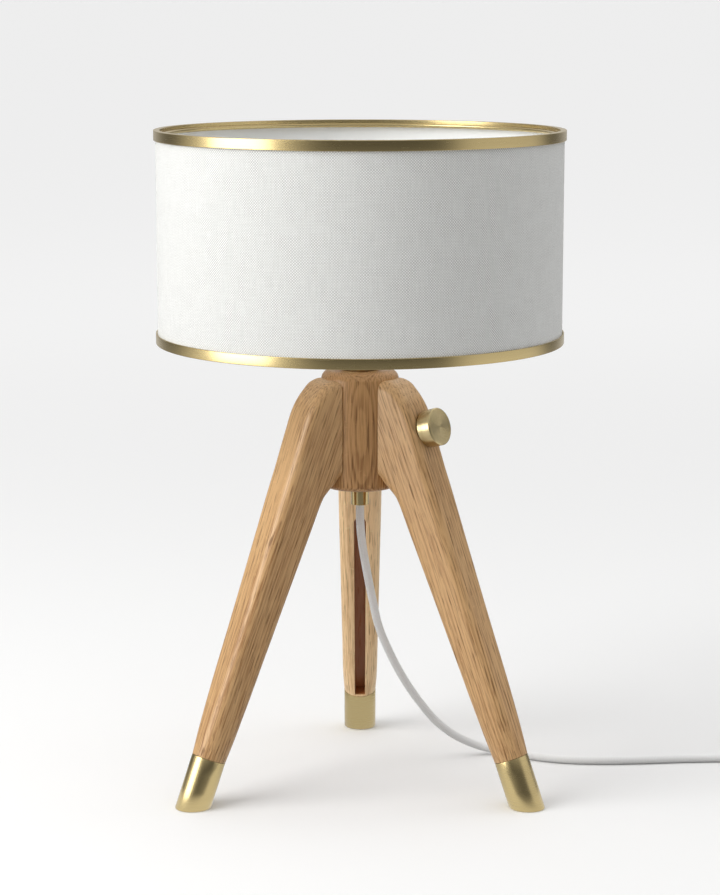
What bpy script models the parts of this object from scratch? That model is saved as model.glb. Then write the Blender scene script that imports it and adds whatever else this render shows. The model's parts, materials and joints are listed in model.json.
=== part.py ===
"""Table lamp on three oak legs with brass foot caps, a turned oak hub, a drum shade and a braided cord.

Metres, +Z up, origin on the floor under the lamp's own axis. The legs stand at 90, -150 and -30
degrees about Z. Each leg, with its cap and dowels, is built in a frame whose X runs outward.
"""
import math

import bpy
import bmesh
from mathutils import Matrix, Vector

for old in list(bpy.data.objects):
    bpy.data.objects.remove(old, do_unlink=True)

MM = 0.001
GAP = 0.3                      # clearance left between two pieces that are glued or clamped

# ---------------------------------------------------------------- driving dimensions, millimetres
LEG_TURN = {"back": 90.0, "left": -150.0, "right": -30.0}
FOOT_R = 141.5                 # lamp axis to the middle of a foot, on the floor
LEAN = math.radians(20.8)      # a leg's lean from vertical
CAP_R = 12.6                   # foot cap outside radius
CAP_WALL = 1.0
CAP_LEN = 38.0                 # cap length along the leg
PAD_R = 7.9

HUB_R = 29.0
HUB_LOW, HUB_TOP = 226.5, 314.5
FLAT_R = 25.0                  # lamp axis to the flats that the legs stand against
NOTCH_LOW, NOTCH_TOP = 230.0, 309.4
CHAMBER_R = 10.0
CHAMBER_TOP = 299.0
DOWEL_R = 3.85
DOWEL_Z = (250.0, 296.0)

SHADE_R = 150.0                # over the brass edges
SHADE_LOW, SHADE_TOP = 334.8, 490.7
BAND = 8.2                     # visible height of each brass edge
FABRIC_R = 148.5
SKIN = 0.6                     # fabric, and liner, thickness
SIDES = 48                     # sides of the shade's rings

CORD_R = 3.1
COIL_MID = (342.0, 83.5)
COIL_IN, COIL_OUT = 26.9, 45.5
COIL_LOW, COIL_TOP = 0.9, 13.3


# ---------------------------------------------------------------- helpers
def finish(name, red, green, blue, rough, metal=0.0, alpha=1.0):
    """A plain Principled material."""
    made = bpy.data.materials.new(name)
    made.use_nodes = True
    shader = made.node_tree.nodes["Principled BSDF"]
    shader.inputs["Base Color"].default_value = (red, green, blue, 1.0)
    shader.inputs["Roughness"].default_value = rough
    shader.inputs["Metallic"].default_value = metal
    shader.inputs["Alpha"].default_value = alpha
    made.diffuse_color = (red, green, blue, alpha)
    return made


def body(name, points, faces, look=None, parent=None, sharp=35.0):
    """One closed mesh object from points in millimetres, its faces turned outward."""
    mesh = bpy.data.meshes.new(name)
    mesh.from_pydata([tuple(c * MM for c in p) for p in points], [], faces)
    work = bmesh.new()
    work.from_mesh(mesh)
    bmesh.ops.recalc_face_normals(work, faces=work.faces)
    if work.calc_volume(signed=True) < 0:
        bmesh.ops.reverse_faces(work, faces=work.faces)
    work.to_mesh(mesh)
    work.free()
    mesh.polygons.foreach_set("use_smooth", [True] * len(mesh.polygons))
    mesh.set_sharp_from_angle(angle=math.radians(sharp))
    made = bpy.data.objects.new(name, mesh)
    bpy.context.scene.collection.objects.link(made)
    if look is not None:
        mesh.materials.append(look)
    if parent is not None:
        made.parent = parent
    return made


def frame(name, place, turn=None, parent=None):
    """An empty that pieces hang from."""
    made = bpy.data.objects.new(name, None)
    made.empty_display_size = 0.02
    made.location = tuple(c * MM for c in place)
    if turn is not None:
        made.rotation_euler = turn
    bpy.context.scene.collection.objects.link(made)
    if parent is not None:
        made.parent = parent
    return made


def loft(rings):
    """Points and faces of a closed body through rings of equal count, flat at both ends."""
    count = len(rings[0])
    points = [p for ring in rings for p in ring]
    faces = []
    for row in range(len(rings) - 1):
        for k in range(count):
            a = row * count + k
            b = row * count + (k + 1) % count
            faces.append((a, b, b + count, a + count))
    faces.append(tuple(range(count)))
    last = (len(rings) - 1) * count
    faces.append(tuple(last + k for k in reversed(range(count))))
    return points, faces


def turned(outline, sides, phase=0.0):
    """Points and faces of an outline of (radius, height) turned about Z. Radius 0 makes a pole."""
    points, rows = [], []
    for radius, height in outline:
        if radius < 1e-9:
            rows.append([len(points)])
            points.append((0.0, 0.0, height))
            continue
        rows.append(list(range(len(points), len(points) + sides)))
        for k in range(sides):
            angle = phase + 2 * math.pi * k / sides
            points.append((radius * math.cos(angle), radius * math.sin(angle), height))
    faces = []
    open_ended = len(rows[0]) == 1 and len(rows[-1]) == 1
    for i in range(len(rows) - 1 if open_ended else len(rows)):
        low, high = rows[i], rows[(i + 1) % len(rows)]
        for k in range(sides):
            n = (k + 1) % sides
            if len(low) == 1 and len(high) == 1:
                continue
            if len(low) == 1:
                faces.append((low[0], high[n], high[k]))
            elif len(high) == 1:
                faces.append((low[k], low[n], high[0]))
            else:
                faces.append((low[k], low[n], high[n], high[k]))
    return points, faces


def ring_body(name, outline, sides, look, parent=None, phase=0.0, sharp=35.0):
    points, faces = turned(outline, sides, phase)
    return body(name, points, faces, look, parent, sharp)


def nut_body(name, inner, half_flats, low, high, look, parent=None):
    """A hexagon nut with a round hole, half_flats from its axis to a flat."""
    sides = 18
    rings = []
    for height, grow in ((low, 0), (low, 1), (high, 1), (high, 0)):
        ring = []
        for k in range(sides):
            angle = 2 * math.pi * k / sides
            off = (angle + math.pi / 6) % (math.pi / 3) - math.pi / 6
            radius = half_flats / math.cos(off) if grow else inner
            ring.append((radius * math.cos(angle), radius * math.sin(angle), height))
        rings.append(ring)
    points = [p for ring in rings for p in ring]
    faces = []
    for row in range(4):
        for k in range(sides):
            n = (k + 1) % sides
            low_row, high_row = row * sides, (row + 1) % 4 * sides
            faces.append((low_row + k, low_row + n, high_row + n, high_row + k))
    return body(name, points, faces, look, parent)


def disc(radius, low, high, edge=0.0):
    """Outline of a solid disc, its edges taken off by `edge`."""
    if edge == 0.0:
        return [(0, low), (radius, low), (radius, high), (0, high)]
    return [(0, low), (radius - edge, low), (radius, low + edge),
            (radius, high - edge), (radius - edge, high), (0, high)]


def tube(inner, outer, low, high, edge=0.0):
    """Outline of a plain ring or tube."""
    if edge == 0.0:
        return [(inner, low), (outer, low), (outer, high), (inner, high)]
    return [(inner, low), (outer - edge, low), (outer, low + edge),
            (outer, high - edge), (outer - edge, high), (inner, high)]


def arc(cx, cz, radius, start, end, steps):
    """Points of an arc, angles in degrees."""
    made = []
    for k in range(steps + 1):
        angle = math.radians(start + (end - start) * k / steps)
        made.append((cx + radius * math.cos(angle), cz + radius * math.sin(angle)))
    return made


def moved(points, matrix):
    return [tuple(matrix @ Vector(p)) for p in points]


def cutter(name, points, faces, parent=None):
    made = body(name, points, faces, None, parent)
    made.hide_render = True
    made.display_type = "WIRE"
    return made


def cut(piece, tool):
    change = piece.modifiers.new("cut " + tool.name, "BOOLEAN")
    change.operation = "DIFFERENCE"
    change.solver = "EXACT"
    change.object = tool


def join(piece, tool):
    change = piece.modifiers.new("join " + tool.name, "BOOLEAN")
    change.operation = "UNION"
    change.solver = "EXACT"
    change.object = tool


def along(start, direction):
    """Matrix that stands local Z along a direction, its origin at start."""
    turn = Vector(direction).normalized().to_track_quat("Z", "Y").to_matrix().to_4x4()
    return Matrix.Translation(Vector(start)) @ turn


def rod(start, end, radius, sides):
    """Points and faces of a straight round bar between two points."""
    span = Vector(end) - Vector(start)
    points, faces = turned(disc(radius, 0.0, span.length), sides)
    return moved(points, along(start, span)), faces


def box(low, high):
    points = [(x, y, z) for x in (low[0], high[0]) for y in (low[1], high[1]) for z in (low[2], high[2])]
    faces = [(0, 1, 3, 2), (4, 6, 7, 5), (0, 4, 5, 1), (2, 3, 7, 6), (0, 2, 6, 4), (1, 5, 7, 3)]
    return points, faces


def blend(x, table):
    """Straight-line reading of a table of (x, value)."""
    if x <= table[0][0]:
        return table[0][1]
    for (x0, v0), (x1, v1) in zip(table, table[1:]):
        if x <= x1:
            return v0 + (v1 - v0) * (x - x0) / (x1 - x0)
    return table[-1][1]


def through(places, count):
    """Points on a smooth curve through the given places, evenly spread along it."""
    spots = [Vector(p) for p in places]
    ends = [spots[0] * 2 - spots[1]] + spots + [spots[-1] * 2 - spots[-2]]
    fine = []
    for i in range(1, len(ends) - 2):
        p0, p1, p2, p3 = ends[i - 1:i + 3]
        for k in range(24):
            t = k / 24
            fine.append(0.5 * ((2 * p1) + (p2 - p0) * t + (2 * p0 - 5 * p1 + 4 * p2 - p3) * t * t
                               + (3 * p1 - p0 - 3 * p2 + p3) * t ** 3))
    fine.append(spots[-1])
    run = [0.0]
    for a, b in zip(fine, fine[1:]):
        run.append(run[-1] + (b - a).length)
    made = []
    j = 0
    for k in range(count):
        want = run[-1] * k / (count - 1)
        while j < len(run) - 2 and run[j + 1] < want:
            j += 1
        part = (want - run[j]) / max(run[j + 1] - run[j], 1e-9)
        made.append(fine[j].lerp(fine[j + 1], min(max(part, 0.0), 1.0)))
    return made


def round_cord(name, places, count, radius, look, detail=2):
    """A round cord as a curve object through the given places."""
    line = bpy.data.curves.new(name, "CURVE")
    line.dimensions = "3D"
    line.bevel_depth = radius * MM
    line.bevel_resolution = detail
    line.use_fill_caps = True
    spline = line.splines.new("POLY")
    spots = through(places, count)
    spline.points.add(len(spots) - 1)
    for point, spot in zip(spline.points, spots):
        point.co = (spot.x * MM, spot.y * MM, spot.z * MM, 1.0)
    line.materials.append(look)
    made = bpy.data.objects.new(name, line)
    bpy.context.scene.collection.objects.link(made)
    return made


# ---------------------------------------------------------------- looks
OAK = [finish("oak_" + part, *tone, 0.5) for part, tone in (
    ("hub", (0.42, 0.26, 0.14)), ("leg_back", (0.50, 0.33, 0.19)),
    ("leg_left", (0.48, 0.31, 0.17)), ("leg_right", (0.46, 0.30, 0.17)))]


def brass(name):
    return finish("brass_" + name, 0.60, 0.50, 0.30, 0.32, 1.0)


def steel(name):
    return finish("steel_" + name, 0.62, 0.62, 0.60, 0.35, 1.0)


# ---------------------------------------------------------------- hub
middle = frame("lamp_axis", (0, 0, 0))
hub = ring_body("hub", [(13.4, HUB_LOW)] + arc(HUB_R - 5, HUB_LOW + 5, 5, -90, 0, 4)
                + arc(HUB_R - 7, HUB_TOP - 7, 7, 0, 90, 5)
                + [(5.3, HUB_TOP), (5.3, CHAMBER_TOP), (CHAMBER_R, CHAMBER_TOP), (CHAMBER_R, 228.5), (13.4, 228.5)],
                36, OAK[0], middle)

turns = {}
for side, degrees in LEG_TURN.items():
    turns[side] = frame("leg_turn_" + side, (0, 0, 0), (0, 0, math.radians(degrees)), middle)
    cut(hub, cutter("notch_" + side, *box((FLAT_R, -20, NOTCH_LOW), (45, 20, NOTCH_TOP)), turns[side]))
    for height in DOWEL_Z:
        points, faces = rod((13.5, 0, height), (40, 0, height), DOWEL_R + GAP, 16)
        cut(hub, cutter("hub_hole_%s_%d" % (side, height), points, faces, turns[side]))
cut(hub, cutter("hub_wire_hole", *rod((6, 0, 267.5), (32, 0, 267.5), 2.6, 12), turns["right"]))

# ---------------------------------------------------------------- legs
AXIS_UP = Vector((-math.sin(LEAN), 0, math.cos(LEAN)))
AXIS_OUT = Vector((math.cos(LEAN), 0, math.sin(LEAN)))
FOOT = Vector((FOOT_R, 0, 0))
# by distance up the leg: centre line to inner face, to outer face and to either flank, and the corner radius
INNER = [(38.3, 12.6), (70, 12.6), (88, 12.8), (110, 13.3), (134, 14.1), (168, 15.2), (200, 16.3), (243, 17.8)]
OUTER = [(38.3, 12.6), (70, 12.65), (100, 12.85), (134, 13.4), (168, 14.1), (200, 14.9), (244, 16.1)]
FLANK = [(38.3, 12.6), (45, 13.1), (57, 13.7), (72, 13.95), (88, 14.1), (116, 14.6), (163, 15.4), (210, 16.25),
         (243, 16.7)]
CORNER = [(38.3, 12.6), (45, 12.0), (57, 10.6), (72, 9.2), (95, 7.6)]
STATIONS = (38.3, 44, 52, 62, 75, 92, 112, 136, 162, 190, 218)
# the head of the leg: inner and outer edge of each section, from the straight part to the hub
HEAD = [((37.8, 222.1), (69.7, 234.1)), ((34.9, 225.8), (65.2, 246.5)), ((32.3, 228.5), (62.0, 256.0)),
        ((30.3, 230.4), (58.7, 265.5)), ((28.8, 231.7), (55.5, 274.5)), ((27.7, 232.9), (52.5, 283.0)),
        ((26.9, 233.9), (49.2, 290.3)), ((26.3, 234.8), (45.2, 296.6)), ((25.9, 235.5), (40.9, 301.7)),
        ((25.7, 236.0), (36.3, 306.2)), ((25.5, 236.4), (31.0, 308.5)), ((25.3, 236.8), (25.3, 309.0))]
CORNER_STEPS = 4


def section(centre, outward, depth, width, corner):
    """One ring of a leg: a rectangle with round corners, across the leg."""
    ring = []
    for quarter, (sx, sy) in enumerate(((1, 1), (-1, 1), (-1, -1), (1, -1))):
        for k in range(CORNER_STEPS + 1):
            angle = math.pi / 2 * (quarter + k / CORNER_STEPS)
            across = sx * (width - corner) + corner * math.cos(angle)
            out = sy * (depth - corner) + corner * math.sin(angle)
            ring.append(tuple(centre + outward * out + Vector((0, across, 0))))
    return ring


def level(height, radius):
    """The ring where a round bar on the leg's axis meets a level plane."""
    middle_x = FOOT_R - height * math.tan(LEAN)
    ring = section(Vector((0, 0, 0)), Vector((1, 0, 0)), radius, radius, radius)
    return [(middle_x + p[0] / math.cos(LEAN), p[1], height) for p in ring]


def leg_rings():
    rings = [level(3.9, CAP_R - CAP_WALL - GAP)]
    spigot = CAP_R - CAP_WALL - GAP
    rings.append(section(FOOT + AXIS_UP * 38.3, AXIS_OUT, spigot, spigot, spigot))
    for s in STATIONS:
        inner, outer, width = blend(s, INNER), blend(s, OUTER), blend(s, FLANK)
        depth = (inner + outer) / 2
        corner = min(blend(s, CORNER), depth - 0.001, width - 0.001)
        rings.append(section(FOOT + AXIS_UP * s + AXIS_OUT * (outer - depth), AXIS_OUT, depth, width, corner))
    for inner, outer in HEAD:
        low, high = Vector((inner[0], 0, inner[1])), Vector((outer[0], 0, outer[1]))
        width = blend(outer[1], [(234, 16.7), (256, 16.8)])
        rings.append(section((low + high) / 2, (high - low).normalized(), (high - low).length / 2, width, 7.5))
    return rings


legs = {}
for look, side in zip(OAK[1:], LEG_TURN):
    legs[side] = body("leg_" + side, *loft(leg_rings()), look, turns[side])
    for number, height in enumerate(DOWEL_Z):
        points, faces = rod((20, 0, height), (37.5, 0, height), DOWEL_R + GAP, 16)
        cut(legs[side], cutter("leg_hole_%s_%d" % (side, height), points, faces, turns[side]))
        body("dowel_%s_%s" % (side, ("low", "high")[number]),
             *rod((13.9, 0, height), (37.1, 0, height), DOWEL_R, 16),
             finish("beech_%s_%d" % (side, height), 0.62, 0.46, 0.30, 0.7), turns[side])


def slot_body():
    """The cord slot's cutter: a bar that follows the back leg's inner face, with an arched upper end."""
    low, high, wide_low, wide_high, deep = 39.4, 210.8, 4.0, 4.6, 12.0
    outline = [(low, wide_low), (high - wide_high, wide_high)]
    outline += [(high - wide_high + wide_high * math.sin(a), wide_high * math.cos(a))
                for a in (math.pi / 8, math.pi / 4, 3 * math.pi / 8)]
    outline.append((high, 0.0))
    outline += [(s, -w) for s, w in reversed(outline[:-1])]
    near, far = [], []
    for s, w in outline:
        face = FOOT + AXIS_UP * s - AXIS_OUT * blend(s, [(39.4, 12.3), (210.8, 16.6)])
        near.append(tuple(face - AXIS_OUT * 6 + Vector((0, w, 0))))
        far.append(tuple(face + AXIS_OUT * deep + Vector((0, w, 0))))
    return loft([near, far])


cut(legs["back"], cutter("cord_slot", *slot_body(), turns["back"]))

# ---------------------------------------------------------------- foot caps and pads
for side in LEG_TURN:
    wall = CAP_R - CAP_WALL
    rings = [level(1.9, PAD_R + GAP), level(0.5, PAD_R + GAP), level(0.5, CAP_R - 0.5), level(1.0, CAP_R)]
    rings.append(section(FOOT + AXIS_UP * (CAP_LEN - 0.4), AXIS_OUT, CAP_R, CAP_R, CAP_R))
    rings.append(section(FOOT + AXIS_UP * CAP_LEN, AXIS_OUT, CAP_R - 0.3, CAP_R - 0.3, CAP_R - 0.3))
    rings.append(section(FOOT + AXIS_UP * CAP_LEN, AXIS_OUT, wall, wall, wall))
    rings.append(level(3.5, wall))
    body("foot_cap_" + side, *loft(rings), brass("cap_" + side), turns[side])
    ring_body("foot_pad_" + side, disc(PAD_R - 0.4, 0.0, 1.5, 0.3), 20, finish("felt_" + side, 0.2, 0.19, 0.18, 0.9),
              frame("pad_place_" + side, (FOOT_R - 0.5, 0, 0), None, turns[side]))

# ---------------------------------------------------------------- under the hub: cover disc, cord outlet
ring_body("hub_cover", tube(5.3, 13.1, 226.7, 228.2, 0.3), 24, brass("cover"), middle)
ring_body("cord_outlet", [(3.5, 212.8), (6.1, 212.8), (6.7, 213.4), (6.7, 226.3), (5.0, 226.3), (5.0, 236.0),
                          (3.5, 236.0)], 24, brass("outlet"), middle)
nut_body("outlet_nut", 5.3, 7.4, 228.7, 232.7, steel("outlet_nut"), middle)

# ---------------------------------------------------------------- stem and lampholder
ring_body("stem_tube", tube(3.9, 5.0, 288.0, 325.0), 16, steel("stem"), middle)
nut_body("stem_nut", 5.3, 7.4, 291.6, 296.0, steel("stem_nut"), middle)
ring_body("stem_washer", tube(5.3, 8.8, 296.4, 298.6), 16, steel("stem_washer"), middle)
ring_body("base_plate", tube(5.3, 13.4, 314.8, 317.0, 0.4), 24, brass("base_plate"), middle)
ring_body("holder_cup", [(5.3, 317.3), (13.5, 317.3), (17.5, 319.3), (19.7, 324.0), (19.7, 344.5), (18.5, 344.5),
                         (18.5, 324.6), (16.6, 320.6), (13.0, 318.6), (5.3, 318.6)], 20, brass("holder_cup"), middle)
nut_body("holder_nut", 5.3, 7.4, 318.9, 322.9, steel("holder_nut"), middle)
ring_body("holder_core", disc(17.9, 329.0, 343.6, 0.6), 24, finish("ceramic_core", 0.85, 0.84, 0.80, 0.4), middle)
ring_body("holder_skirt", [(14.3, 344.8), (23.0, 344.8), (23.0, 347.6), (19.9, 347.6), (19.9, 371.0),
                           (19.4, 371.5), (14.3, 371.5)], 20, finish("holder_skirt", 0.03, 0.03, 0.03, 0.4), middle)
ring_body("holder_shell", tube(13.5, 13.95, 345.2, 369.5), 24, brass("holder_shell"), middle)
ring_body("holder_contact", disc(3.5, 344.2, 347.0, 0.5), 12, brass("holder_contact"), middle)
ring_body("shade_nut", [(20.3, 350.3), (24.6, 350.3), (25.5, 351.2), (25.5, 355.5), (24.6, 356.4), (20.3, 356.4)],
          24, finish("shade_nut", 0.03, 0.03, 0.03, 0.4), middle)

# ---------------------------------------------------------------- bulb, turns about the lamp axis
bulb_axis = frame("bulb_axis", (0, 0, 371), None, middle)


def lowered(outline):
    return [(r, z - 371.0) for r, z in outline]


GLASS = [(12.6, 371.9), (13.4, 376), (15.5, 384), (20.5, 396), (26.5, 407), (29.3, 415), (30.0, 422.3), (29.2, 430),
         (25.8, 438.5), (19.5, 446), (10.5, 450.9)]
INSIDE = [(r - 0.9, z - 0.35 * (z - 400) / 50) for r, z in reversed(GLASS)]
points, faces = turned(lowered([(0, 452.3)] + GLASS[::-1] + INSIDE[::-1] + [(0, 451.2)]), 20)
body("bulb_glass", points, faces, finish("opal_glass", 0.93, 0.92, 0.88, 0.25), bulb_axis)
ring_body("bulb_cap", lowered([(9.8, 350.4), (13.0, 353.6), (13.15, 371.5), (12.3, 371.5), (12.2, 354.4), (9.8, 351.9)]),
          24, finish("nickel_cap", 0.70, 0.69, 0.66, 0.3, 1.0), bulb_axis)
ring_body("bulb_insulator", lowered(disc(9.4, 349.2, 352.6, 0.5)), 20, finish("black_glass", 0.02, 0.02, 0.02, 0.2),
          bulb_axis)
ring_body("bulb_contact", lowered(disc(4.6, 347.4, 348.9, 0.4)), 16, finish("solder", 0.6, 0.6, 0.58, 0.4, 1.0),
          bulb_axis)

# ---------------------------------------------------------------- shade, turns about the lamp axis
shade_axis = frame("shade_axis", (0, 0, SHADE_LOW), None, middle)


def shade_ring(name, outline, look):
    return ring_body(name, [(r, z - SHADE_LOW) for r, z in outline], SIDES, look, shade_axis)


LINEN = finish("linen", 0.80, 0.79, 0.76, 0.9)
LINER = finish("white_liner", 0.86, 0.86, 0.85, 0.6)
LINER_R = FABRIC_R - SKIN - GAP
shade_ring("shade_fabric", tube(FABRIC_R - SKIN, FABRIC_R, SHADE_LOW + 1.8, SHADE_TOP - 1.8), LINEN)
shade_ring("shade_liner", tube(LINER_R - SKIN, LINER_R, SHADE_LOW + 1.8, SHADE_TOP - 1.8), LINER)
for name, face, way in (("shade_band_top", SHADE_TOP, -1), ("shade_band_bottom", SHADE_LOW, 1)):
    outline = [(148.8, face + way * BAND), (SHADE_R, face + way * BAND), (SHADE_R, face + way * 0.4),
               (SHADE_R - 0.4, face), (145.9, face), (145.5, face + way * 0.4), (145.5, face + way * 6.0),
               (146.7, face + way * 6.0), (146.7, face + way * 1.5), (148.8, face + way * 1.5)]
    shade_ring(name, outline, brass(name))


def wire_ring(radius, thick, height, sides=6):
    return [(radius + thick * math.cos(2 * math.pi * k / sides), height + thick * math.sin(2 * math.pi * k / sides))
            for k in range(sides)]


shade_ring("shade_wire_top", wire_ring(143.6, 1.5, SHADE_TOP - 4.2), finish("white_wire_top", 0.8, 0.8, 0.79, 0.4))
WIRE = finish("white_wire", 0.8, 0.8, 0.79, 0.4)
spider = shade_ring("shade_spider", wire_ring(143.6, 1.5, SHADE_LOW + 4.2), WIRE)
collar = cutter("spider_collar", *turned([(20.3, 13.1), (27.0, 13.1), (27.0, 15.1), (20.3, 15.1)], 20), shade_axis)
join(spider, collar)
for number in range(3):
    turn = math.radians(30 + 120 * number)
    reach = Vector((math.cos(turn), math.sin(turn), 0))
    arm = cutter("spider_arm_%d" % number, *rod(reach * 24.5 + Vector((0, 0, 14.0)), reach * 143.4
                                               + Vector((0, 0, 4.3)), 1.45, 8), shade_axis)
    join(spider, arm)

# ---------------------------------------------------------------- rotary switch in the right leg, and its knob
KNOB_TURN = (math.radians(-35.5), math.radians(15.5))          # heading about Z, tilt up from level
KNOB_WAY = Vector((math.cos(KNOB_TURN[1]) * math.cos(KNOB_TURN[0]),
                   math.cos(KNOB_TURN[1]) * math.sin(KNOB_TURN[0]), math.sin(KNOB_TURN[1])))
KNOB_SEAT = Vector((55.7 * math.cos(math.radians(-30)), 55.7 * math.sin(math.radians(-30)), 274.0))
knob_frame = bpy.data.objects.new("knob_axis", None)
knob_frame.matrix_world = Matrix.Translation(KNOB_SEAT * MM) @ KNOB_WAY.to_track_quat("Z", "Y").to_matrix().to_4x4()
bpy.context.scene.collection.objects.link(knob_frame)

cut(legs["right"], cutter("switch_pocket", *turned([(0, -20.0), (10.3, -20.0), (10.3, -0.9), (12.5, -0.9),
                                                    (12.5, 9.0), (0, 9.0)], 24), knob_frame))
cut(legs["right"], cutter("leg_wire_hole", *rod((20, 0, 267.5), (41, 0, 267.5), 2.6, 12), turns["right"]))
ring_body("switch_body", [(0, -19.4), (9.4, -19.4), (9.9, -18.9), (9.9, -3.4), (4.7, -3.4), (4.7, 2.8), (3.1, 2.8),
                          (3.1, -5.0), (0, -5.0)], 24, finish("switch_body", 0.05, 0.05, 0.05, 0.5), knob_frame)
ring_body("switch_plate", tube(5.0, 12.1, -0.6, 0.5, 0.2), 28, brass("switch_plate"), knob_frame)
nut_body("switch_nut", 5.0, 6.5, 0.8, 2.6, steel("switch_nut"), knob_frame)
ring_body("knob_spindle", disc(3.04, -4.7, 9.6, 0.3), 16, steel("spindle"), knob_frame)
knob = ring_body("knob", [(0, 13.1), (13.0, 13.1), (13.9, 12.2), (13.9, 2.4), (13.6, 2.0), (9.0, 2.0), (9.0, 5.6),
                          (3.25, 5.6), (3.25, 10.0), (0, 10.0)], 32, brass("knob"), knob_frame)
cut(knob, cutter("knob_screw_hole", *rod((0, -2.5, 7.8), (0, -15, 7.8), 1.65, 10), knob_frame))
body("knob_screw", *rod((0, -3.35, 7.8), (0, -13.0, 7.8), 1.45, 10), steel("knob_screw"), knob_frame)

# ---------------------------------------------------------------- leads inside the hub
LEAD = finish("lead", 0.75, 0.74, 0.70, 0.5)
lead_turn = math.radians(-30)
round_cord("lead_switch", [(33.0 * math.cos(lead_turn), 33.0 * math.sin(lead_turn), 267.5),
                           (20.0 * math.cos(lead_turn), 20.0 * math.sin(lead_turn), 267.5),
                           (9.5 * math.cos(lead_turn), 9.5 * math.sin(lead_turn), 267.2),
                           (5.6 * math.cos(lead_turn), 5.6 * math.sin(lead_turn), 262.0),
                           (5.2 * math.cos(lead_turn), 5.2 * math.sin(lead_turn), 254.0),
                           (4.6 * math.cos(lead_turn), 4.6 * math.sin(lead_turn), 240.5)], 14, 1.3, LEAD, 1)
round_cord("lead_holder", [(-4.0, 2.4, 240.5), (-3.6, 2.2, 256.0), (-1.6, 1.0, 274.0), (0, 0, 288.0), (0, 0, 308.0),
                           (0, 0, 328.0)], 14, 1.3, LEAD, 1)

# ---------------------------------------------------------------- cord, coil, tie and plug
CORD = finish("braid", 0.80, 0.80, 0.78, 0.85)
ROUTE = [(0, 0, 236), (0, 0, 213), (0.1, 0.1, 200), (1.6, 1.1, 183), (5.0, 3.2, 161.5), (9.2, 6.2, 139),
         (14.2, 9.7, 116.5), (23.2, 16, 93), (33.8, 24, 71), (47.0, 34, 49), (61.5, 45, 29.5), (77.5, 55, 15.5),
         (97.5, 61, 5.8), (115, 57.5, 3.4), (133, 47, 3.2), (155, 38.2, 3.2), (185, 34.8, 3.2), (216, 36.0, 3.2),
         (248, 39.4, 3.2), (279, 41, 3.2), (316.5, 41.0, 3.5)]
round_cord("cord", ROUTE, 44, CORD_R, CORD, 2)

place = frame("coil_place", (COIL_MID[0], COIL_MID[1], 0))
ring = []
for cx, cz, start in ((COIL_OUT - 3.1, COIL_LOW + 3.1, -90), (COIL_OUT - 3.1, COIL_TOP - 3.1, 0),
                      (COIL_IN + 3.1, COIL_TOP - 3.1, 90), (COIL_IN + 3.1, COIL_LOW + 3.1, 180)):
    ring += arc(cx, cz, 3.1, start, start + 90, 2)
ring_body("cord_coil", ring, 32, CORD, place)

TIE_AT = math.radians(60)
tie_frame = frame("tie_place", (COIL_MID[0] + 36.2 * math.cos(TIE_AT), COIL_MID[1] + 36.2 * math.sin(TIE_AT), 7.1),
                  (0, 0, TIE_AT), None)


def tie_ring(grow, offset):
    half_wide, half_high = 9.3 + grow, 6.2 + grow
    ring = []
    for cx, cz, start in ((half_wide - 3.4, -half_high + 3.4, -90), (half_wide - 3.4, half_high - 3.4, 0),
                          (-half_wide + 3.4, half_high - 3.4, 90), (-half_wide + 3.4, -half_high + 3.4, 180)):
        ring += arc(cx, cz, 3.4, start, start + 90, 3)
    return [(x, offset, z) for x, z in ring]


points, faces = [], []
tie_rings = [tie_ring(0.35, -2.5), tie_ring(0.8, -2.5), tie_ring(0.8, 2.5), tie_ring(0.35, 2.5)]
count = len(tie_rings[0])
points = [p for r in tie_rings for p in r]
for row in range(4):
    for k in range(count):
        n = (k + 1) % count
        faces.append((row * count + k, row * count + n, (row + 1) % 4 * count + n, (row + 1) % 4 * count + k))
body("cord_tie", points, faces, finish("tie", 0.78, 0.78, 0.76, 0.6), tie_frame)

# the plug lies flat beside the coil, its own X along the cord's way out
PLUG_WAY = math.radians(30)
PLUG_START = (COIL_MID[0] + 42.3 * math.cos(math.radians(-60)) + 26.5 * math.cos(PLUG_WAY),
              COIL_MID[1] + 42.3 * math.sin(math.radians(-60)) + 26.5 * math.sin(PLUG_WAY), 6.95)
plug = frame("plug_place", PLUG_START, (0, 0, PLUG_WAY), None)
WHITE = finish("plug_white", 0.82, 0.82, 0.80, 0.4)


def plug_ring(x, half_wide, half_high, corner):
    ring = []
    for quarter, (sy, sz) in enumerate(((1, 1), (-1, 1), (-1, -1), (1, -1))):
        for k in range(4):
            angle = math.pi / 2 * (quarter + k / 3)
            ring.append((x, sy * (half_wide - corner) + corner * math.cos(angle),
                         sz * (half_high - corner) + corner * math.sin(angle)))
    return ring


relief_rings = [plug_ring(x, r, r, r - 0.001) for x, r in ((0, 3.7), (1, 3.9), (24, 5.0), (29.7, 5.4))]
body("plug_relief", *loft(relief_rings), finish("plug_relief", 0.80, 0.80, 0.78, 0.45), plug)
body("plug_body", *loft([plug_ring(30.0, 7.0, 5.8, 3.5), plug_ring(33.0, 8.2, 6.8, 4.0), plug_ring(50.0, 13.0, 6.85, 4.0),
                         plug_ring(56.0, 17.0, 6.85, 3.5), plug_ring(64.2, 17.6, 6.85, 3.0),
                         plug_ring(65.0, 16.9, 6.1, 2.6)]), WHITE, plug)
for name, y in (("plug_pin_a", 9.3), ("plug_pin_b", -9.3)):
    points, faces = turned([(0, 65.3), (2.0, 65.3), (2.0, 83.4), (1.2, 84.3), (0, 84.3)], 12)
    aim = Matrix.Translation((0, y, 0)) @ Matrix.Rotation(math.radians(90), 4, "Y")
    body(name, moved(points, aim), faces, finish(name, 0.65, 0.64, 0.60, 0.25, 1.0), plug)
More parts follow.
